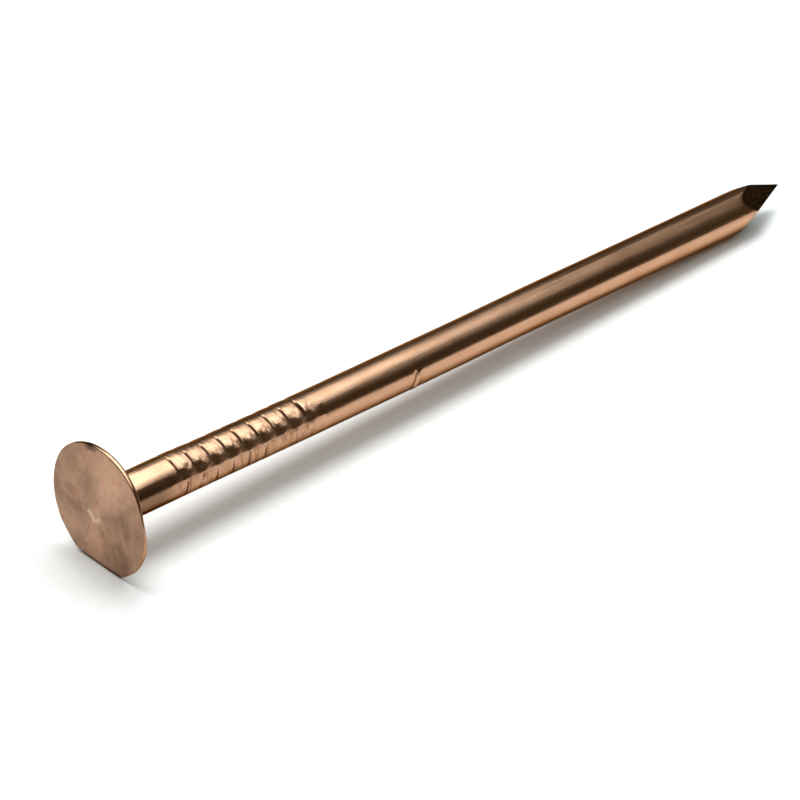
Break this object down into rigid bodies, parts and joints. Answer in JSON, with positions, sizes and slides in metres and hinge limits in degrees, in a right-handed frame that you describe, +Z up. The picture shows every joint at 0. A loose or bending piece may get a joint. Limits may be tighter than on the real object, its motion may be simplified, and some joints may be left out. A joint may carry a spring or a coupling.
{
  "type": "nail",
  "caption": "Copper clout nail with a wide flat head, one flat on its rim, gripping marks under the head, a smooth round shank and a four-sided diamond point.",
  "frame": {"origin": "on the shank's axis at the head's underside, the face that bears on the work", "axes": "+X along the shank from the head to the point, +Z up, away from the flat on the head's rim that the nail lies on"},
  "size_m": [0.0643, 0.0094, 0.009],
  "materials": {
    "copper": "bright drawn copper wire, lightly tarnished"
  },
  "bodies": {
    "root": {"nail": "copper"}
  },
  "joints": []
}
